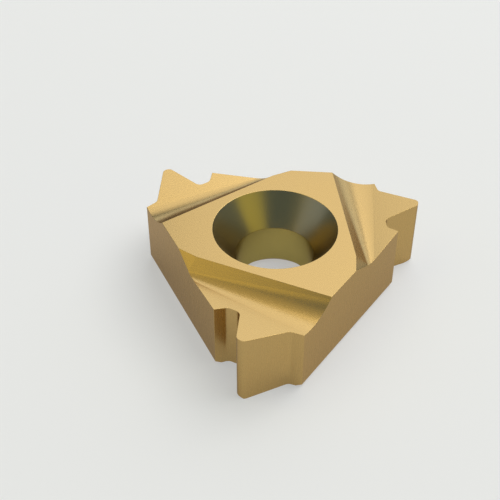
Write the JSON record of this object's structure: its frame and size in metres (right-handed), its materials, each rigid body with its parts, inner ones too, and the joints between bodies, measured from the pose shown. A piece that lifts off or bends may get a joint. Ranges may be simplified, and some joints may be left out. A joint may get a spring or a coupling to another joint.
{
  "type": "threading insert",
  "caption": "Flat three-cornered indexable insert with a ground thread tooth and chip hollow at each corner and a countersunk screw hole through the middle.",
  "frame": {"origin": "on the screw hole's axis, at the flat seat face that the insert lies on, 0.3 mm below the lower end of the hole's straight wall", "axes": "+Z along the screw hole, out of its countersunk top; +X along one of the three teeth, from the hole outwards; +Y towards the side face which that tooth runs parallel to"},
  "size_m": [0.0134, 0.0123, 0.0038],
  "materials": {
    "coated_carbide": "fine matt ground, gold titanium nitride coating on sintered hard metal"
  },
  "bodies": {
    "root": {"threading_insert": "coated_carbide"}
  },
  "joints": []
}
